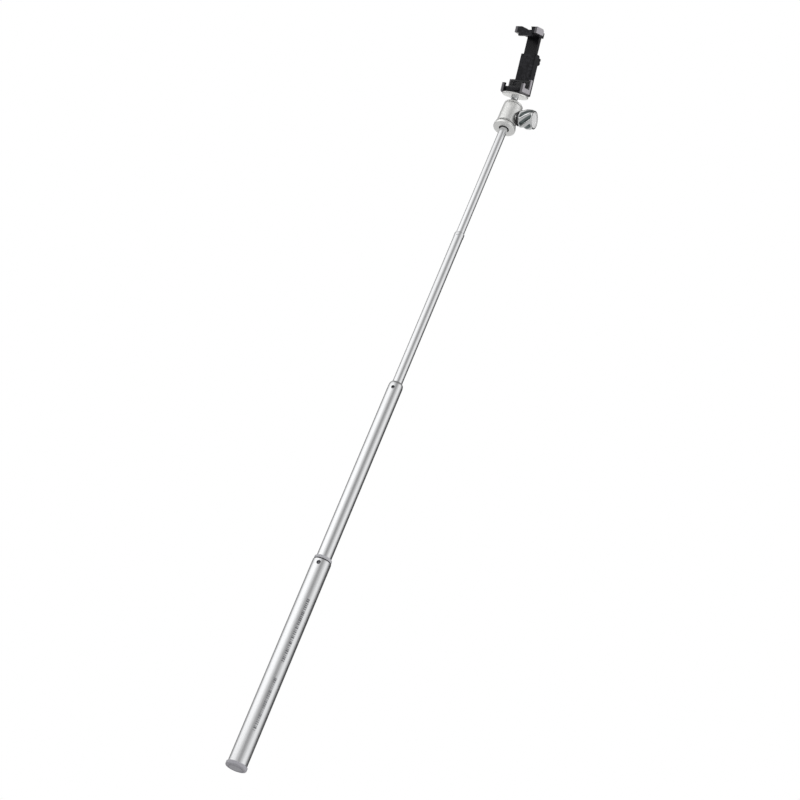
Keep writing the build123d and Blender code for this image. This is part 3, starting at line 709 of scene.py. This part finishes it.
def grown(mesh, tree, **inputs):
    """The plain mesh that a geometry node tree makes from a mesh, with its named inputs set."""
    work = bpy.data.objects.new("work", mesh)
    nodes = work.modifiers.new("nodes", "NODES")
    nodes.node_group = tree
    for item in tree.interface.items_tree:
        key = item.name.lower().replace(" ", "_")
        if item.in_out == "INPUT" and key in inputs:
            nodes[item.identifier] = inputs[key]
    scene.collection.objects.link(work)
    made = bpy.data.meshes.new_from_object(work.evaluated_get(bpy.context.evaluated_depsgraph_get()))
    bpy.data.objects.remove(work)
    return made


def placed(mesh, place):
    """The mesh moved into its place in the shared frame."""
    mesh.transform(place)
    mesh.update()
    return mesh


knob_aluminium = surface("knob_aluminium", (0.70, 0.71, 0.71), (0.85, 0.86, 0.86), 0.16, metallic=1.0,
                         scale=2400, relief=0.000004, spread=0.04, wear=0.5, worn_colour=(0.95, 0.95, 0.95))
knob_tree = knob_aluminium.node_tree
# Painted shade: the flute hollows are laid over with a dark grey.
hollow = add(knob_tree, "ShaderNodeAttribute", attribute_name="hollow").outputs["Fac"]
hollow = ramp(knob_tree, hollow, [(0.15, 0.0), (0.60, 1.0)])
overlay(knob_aluminium, hollow, (0.17, 0.20, 0.20))
core = add(knob_tree, "ShaderNodeAttribute", attribute_name="core").outputs["Fac"]
overlay(knob_aluminium, core, (0.74, 0.74, 0.74), Metallic=0.1, Roughness=0.5)
FLUTES = flute_tree()
knob_r = knob_high.y
knob_section = outline(
    (0.0026, knob_near, 0), (0.0108, knob_near, 0.0006), (0.0126, knob_near + 0.0016, 0.002),
    (knob_r, knob_near + 0.009, 0.007), (knob_r, knob_far - 0.0045, 0.004),
    (0.0128, knob_far, 0.0009), (0.0106, knob_far, 0.0005), (0.0098, knob_far - 0.0016, 0.0008),
    (0, knob_far - 0.0022, 0), (0, knob_far - 0.008, 0), (0.0026, knob_far - 0.008, 0), steps=7)


def with_rows(section, gap):
    """The cross-section with its long runs divided, so that a node tree can shape them."""
    points = []
    for here, ahead in zip(section, section[1:] + section[:1]):
        parts_needed = max(1, math.ceil((ahead - here).length / gap))
        points += [here.lerp(ahead, part / parts_needed) for part in range(parts_needed)]
    return points


knob_blank = turned("lock_knob_fluted", with_rows(knob_section, 0.0005), around=216)
knob_mesh = grown(knob_blank, FLUTES, lobes=KNOB_LOBES, depth=KNOB_DEPTH, twist=KNOB_TWIST,
                  start=knob_near + 0.001, end=knob_far - 0.0006, fade=0.0022, sharpness=1.4, core=0.0112,
                  material=knob_aluminium)
smooth(placed(knob_mesh, KNOB), math.radians(50))
piece("lock_knob_fluted", knob_mesh, "head_knob", "knob_aluminium", knob_aluminium, "lock_knob")


# ---- ball and stem ----
# One piece of chromed steel: the ball, polished all over, and the neck that carries the
# platform, with a short flare under it.
stem_chrome = surface("stem_chrome", (0.62, 0.63, 0.64), (0.74, 0.75, 0.76), 0.09, metallic=1.0, scale=800,
                      relief=0.000002, spread=0.03, wear=0.1)
finish_node(stem_chrome, "ball_stem")


# ---- platform ----
# A satin aluminium disc screwed on to the stem, with a thin rubber pad between it and the
# clamp.  The stud through its middle is the usual camera thread.
clamp_joint = next(joint for joint in frame["joints"] if joint["name"] == "clamp_turn")
thumb_joint = next(joint for joint in frame["joints"] if joint["name"] == "clamp_knob_turn")
stem_axis = Vector(clamp_joint["axis"])
rear_axis = Vector(thumb_joint["axis"])
side_axis = rear_axis.cross(stem_axis)
CLAMP = Matrix.Translation((0, 0, ball_z)) @ Matrix((side_axis, rear_axis, stem_axis)).transposed().to_4x4()


disc_low, disc_high = extent("platform_disc", CLAMP)
disc_mesh = turned("platform_disc_turned", outline(
    (0.00305, disc_low.z, 0), (disc_high.x, disc_low.z, 0.0009), (disc_high.x, disc_high.z, 0.0004),
    (0.00305, disc_high.z, 0)), CLAMP)
piece("platform_disc_turned", disc_mesh, "ball", "head_aluminium", head_aluminium, "platform_disc")


# ---- clamp mouldings ----
# The fixed jaw, the slide housing with its cover, the sliding jaw and the slider are moulded in
# black glass-filled nylon.  Every edge has the small radius that a mould leaves.
def softened(node, radius):
    """A copy of a CAD solid with its hard edges rounded."""
    shape = bmesh.new()
    shape.from_mesh(frame["nodes"][node].data)
    bmesh.ops.remove_doubles(shape, verts=shape.verts, dist=1e-6)
    bmesh.ops.dissolve_limit(shape, angle_limit=math.radians(2), verts=shape.verts, edges=shape.edges)
    mesh = bpy.data.meshes.new(node + "_moulded")
    shape.to_mesh(mesh)
    shape.free()
    work = bpy.data.objects.new("work", mesh)
    scene.collection.objects.link(work)
    rounding = work.modifiers.new("rounding", "BEVEL")
    rounding.width = radius
    rounding.segments = 3
    rounding.limit_method = "ANGLE"
    rounding.angle_limit = math.radians(32)
    rounding.use_clamp_overlap = True
    work.modifiers.new("normals", "WEIGHTED_NORMAL")
    mesh.shade_smooth()
    made = bpy.data.meshes.new_from_object(work.evaluated_get(bpy.context.evaluated_depsgraph_get()))
    bpy.data.objects.remove(work)
    return made


def black_nylon(name):
    """The moulded black of the clamp, with little gloss and faintly rubbed edges."""
    return surface(name, (0.0055, 0.0055, 0.007), (0.007, 0.007, 0.009), 0.30, scale=1500, relief=0.000008,
                   spread=0.04, wear=0.4, worn_colour=(0.05, 0.05, 0.06), **{"Specular IOR Level": 0.22})


clamp_plastic = black_nylon("clamp_plastic")
slider_plastic = surface("slider_plastic", (0.006, 0.006, 0.007), (0.0075, 0.0075, 0.009), 0.26, scale=1500,
                         stretch=(1, 1, 0.3), relief=0.000006, wear=0.4, worn_colour=(0.04, 0.04, 0.05),
                         **{"Specular IOR Level": 0.25})


def paint_light_on_jaw_ends(material, reach):
    """Paints light on the ends of the jaws, both sides alike: a clamp material turns pale grey there, standing
    in for light on their side faces.
    """
    tree = material.node_tree
    place = add(tree, "ShaderNodeTexCoord").outputs["Object"]
    across = add(tree, "ShaderNodeVectorMath", {0: place, 1: side_axis},
                 operation="DOT_PRODUCT").outputs["Value"]
    middle = CLAMP.translation.dot(side_axis)
    across = add(tree, "ShaderNodeMath", {0: across, 1: middle}, operation="SUBTRACT").outputs[0]
    across = add(tree, "ShaderNodeMath", {0: across}, operation="ABSOLUTE").outputs[0]
    share = add(tree, "ShaderNodeMath", {0: across, 1: reach}, operation="DIVIDE").outputs[0]
    share = ramp(tree, share, [
        (0.0, 0.0), (0.775, 0.0), (0.795, 0.30), (0.975, 0.34), (0.985, 1.0), (1.0, 1.0),
    ])
    # Painted light: pale grey laid over the jaws' ends, as if lit from the side.
    overlay(material, share, (0.40, 0.385, 0.41))
    return material


# The jaws' black carries painted light at both ends.
jaw_plastic = paint_light_on_jaw_ends(black_nylon("jaw_plastic"), extent("lower_jaw", CLAMP)[1].x)
for node, body, finish_slot, material, radius in (
    ("lower_jaw", "clamp", "clamp_plastic", jaw_plastic, 0.0005),
    ("slide_housing", "clamp", "clamp_plastic", clamp_plastic, 0.0003),
    ("housing_cover", "clamp", "clamp_plastic", clamp_plastic, 0.0004),
    ("upper_jaw", "sliding_jaw", "clamp_plastic", jaw_plastic, 0.0006),
    ("jaw_slider", "sliding_jaw", "slider_plastic", slider_plastic, 0.0004),
):
    piece(node + "_moulded", softened(node, radius), body, finish_slot, material, node)


# ---- rubber pads ----
# Silicone pads glued to the jaws where they grip, each a thin slab with round-edged ribs.  The
# one on the back wall has two holes for a screwdriver.
def repeat_tree():
    """Geometry nodes that set out a part in evenly spaced columns and rows about the origin."""
    tree = bpy.data.node_groups.new("repeated_part", "GeometryNodeTree")
    tree.interface.new_socket(name="Geometry", in_out="INPUT", socket_type="NodeSocketGeometry")
    for label, kind in (("Columns", "Int"), ("Rows", "Int"), ("Column Gap", "Float"), ("Row Gap", "Float"),
                        ("Material", "Material")):
        tree.interface.new_socket(name=label, in_out="INPUT", socket_type="NodeSocket" + kind)
    tree.interface.new_socket(name="Geometry", in_out="OUTPUT", socket_type="NodeSocketGeometry")
    given = add(tree, "NodeGroupInput").outputs
    made = given["Geometry"]
    for count, gap, axis in (("Columns", "Column Gap", 0), ("Rows", "Row Gap", 1)):
        step = add(tree, "ShaderNodeCombineXYZ", {axis: given[gap]}).outputs[0]
        steps_back = add(tree, "ShaderNodeMath", {0: given[count], 1: -0.5, 2: 0.5}, operation="MULTIPLY_ADD")
        start = add(tree, "ShaderNodeVectorMath", {0: step, "Scale": steps_back.outputs[0]}, operation="SCALE")
        line = add(tree, "GeometryNodeMeshLine", {
            "Count": given[count], "Start Location": start.outputs[0], "Offset": step,
        })
        spread_out = add(tree, "GeometryNodeInstanceOnPoints", {"Points": line.outputs[0], "Instance": made})
        made = add(tree, "GeometryNodeRealizeInstances", {"Geometry": spread_out.outputs[0]}).outputs[0]
    painted = add(tree, "GeometryNodeSetMaterial", {"Geometry": made, "Material": given["Material"]})
    add(tree, "NodeGroupOutput", {"Geometry": painted.outputs[0]})
    return tree


def slab(name, low, high, rounding):
    """A closed block between two corners, with rounded edges."""
    shape = bmesh.new()
    bmesh.ops.create_cube(shape, size=1)
    bmesh.ops.scale(shape, verts=shape.verts, vec=Vector(high) - Vector(low))
    bmesh.ops.translate(shape, verts=shape.verts, vec=(Vector(high) + Vector(low)) / 2)
    bmesh.ops.bevel(shape, geom=shape.edges[:], offset=rounding, segments=3, affect="EDGES", profile=0.5)
    mesh = bpy.data.meshes.new(name)
    shape.to_mesh(mesh)
    shape.free()
    smooth(mesh)
    return mesh


REPEATED = repeat_tree()
RIB_COUNT = 4
RIB_SHARE = 0.68          # part of the pitch that is rib
RIB_HEIGHT = 0.0005
ACROSS_JAW = Matrix.Identity(4)
DOWNWARD = Matrix.Rotation(math.pi, 4, "X")
FORWARD = Matrix.Rotation(math.pi / 2, 4, "X")
pad_rubber = surface("pad_rubber", (0.012, 0.012, 0.013), (0.026, 0.026, 0.029), 0.58, scale=1200,
                     relief=0.00002, wear=0.3, worn_colour=(0.06, 0.06, 0.065))


def ribbed_pad(node, body, turn, holes=()):
    """A pad whose ribs stand up along the local Z of its own turned frame."""
    place = CLAMP @ turn
    low, high = extent(node, place)
    pitch = (high.y - low.y) / RIB_COUNT
    half = pitch * RIB_SHARE / 2
    base = slab(node + "_ribbed", low, (high.x, high.y, high.z - RIB_HEIGHT), 0.0002)
    rib = slab("rib", (low.x + 0.0004, -half, -2 * RIB_HEIGHT), (high.x - 0.0004, half, 0), 0.0002)
    ribs = grown(rib, REPEATED, columns=1, rows=RIB_COUNT, column_gap=0.0, row_gap=pitch, material=pad_rubber)
    ribs = placed(ribs, Matrix.Translation((0, (low.y + high.y) / 2, high.z)))
    mesh = drilled(base, ribs, operation="UNION")
    mesh = drilled(mesh, *[turned("hole", outline(
        (0, low.z - 0.001, 0), (radius, low.z - 0.001, 0), (radius, high.z + 0.001, 0), (0, high.z + 0.001, 0)),
        Matrix.Translation((x, y, 0)), around=48) for x, y, radius in holes])
    piece(node + "_ribbed", placed(mesh, place), body, "pad_rubber", pad_rubber, node)


jaw_screw_low, jaw_screw_high = extent("jaw_screws", CLAMP)
JAW_SCREW_HEAD = 0.0027
jaw_screw_x = jaw_screw_high.x - JAW_SCREW_HEAD
jaw_screw_z = (jaw_screw_low.z + jaw_screw_high.z) / 2
ribbed_pad("lower_pad", "clamp", ACROSS_JAW)
ribbed_pad("upper_pad", "sliding_jaw", DOWNWARD)
ribbed_pad("back_pad", "clamp", FORWARD, [(x, jaw_screw_z, 0.0032) for x in (-jaw_screw_x, jaw_screw_x)])


# ---- clamp screws ----
# Blackened pan-head screws with a cross recess: four small ones hold the housing's cover, two
# hold the housing to the fixed jaw and two hold the sliding jaw to the slider.
def screws(node, body, head_r, shank_r, head, turn, columns, rows):
    """A grid of equal screws in place of a CAD node; their heads face the turned frame's +Z."""
    place = CLAMP @ turn
    low, high = extent(node, place)
    top = high.z
    blank = turned("screw", outline(
        (0, low.z - top, 0), (shank_r * 0.6, low.z - top, 0), (shank_r, low.z - top + shank_r, 0),
        (shank_r, -head, 0), (head_r, -head, 0.00005), (head_r, 0, head * 0.6), (0, 0, 0)), around=48)
    arm, deep = head_r * 0.62, head * 0.6
    for along, side in ((arm, head_r * 0.14), (head_r * 0.14, arm)):
        blank = drilled(blank, slab("recess", (-along, -side, -deep), (along, side, head), head_r * 0.03))
    gaps = (high.x - low.x - 2 * head_r, high.y - low.y - 2 * head_r)
    mesh = grown(blank, REPEATED, columns=columns, rows=rows, column_gap=gaps[0], row_gap=gaps[1],
                 material=screw_steel)
    middle = Matrix.Translation(((low.x + high.x) / 2, (low.y + high.y) / 2, top))
    mesh = placed(mesh, place @ middle)
    smooth(mesh)
    piece(node + "_crosshead", mesh, body, "screw_steel", screw_steel, node)


REARWARD = Matrix.Rotation(-math.pi / 2, 4, "X")
screws("cover_screws", "clamp", 0.00088, 0.0007, 0.0007, REARWARD, 2, 2)
screws("jaw_screws", "clamp", JAW_SCREW_HEAD, 0.00125, 0.0010, FORWARD, 2, 1)
screws("slider_screws", "sliding_jaw", 0.0026, 0.00115, 0.0008, REARWARD, 2, 1)


# ---- thumbscrew knob ----
# A moulded knob with six finger hollows, pressed on the screw that locks the slider.
THUMB_BORE = 0.0020
thumb_low, thumb_high = extent("thumbscrew_knob", CLAMP)
thumb_z = (thumb_low.z + thumb_high.z) / 2
thumb_place = CLAMP @ Matrix.Translation((0, 0, thumb_z)) @ REARWARD
thumb_r, thumb_near, thumb_far = 0.0080, thumb_low.y, thumb_high.y
bore_end = extent("thumbscrew_shaft", CLAMP)[1].y
thumb_section = outline(
    (THUMB_BORE, thumb_near, 0), (0.0062, thumb_near, 0.0004), (thumb_r, thumb_near + 0.0012, 0.0008),
    (thumb_r, thumb_far, 0.0010), (0.0055, thumb_far, 0.0004), (0.0051, thumb_far - 0.0006, 0.0004),
    (0, thumb_far - 0.0006, 0), (0, bore_end, 0), (THUMB_BORE, bore_end, 0))
thumb_blank = turned("thumbscrew_knob_moulded", with_rows(thumb_section, 0.0006), around=216)
thumb_mesh = grown(thumb_blank, FLUTES, lobes=6, depth=0.0015, twist=0.0, start=thumb_near - 0.001,
                   end=thumb_far + 0.001, fade=0.0010, sharpness=1.3, core=0.0060, material=clamp_plastic)
smooth(placed(thumb_mesh, thumb_place), math.radians(50))
piece("thumbscrew_knob_moulded", thumb_mesh, "clamp_knob", "clamp_plastic", clamp_plastic, "thumbscrew_knob")
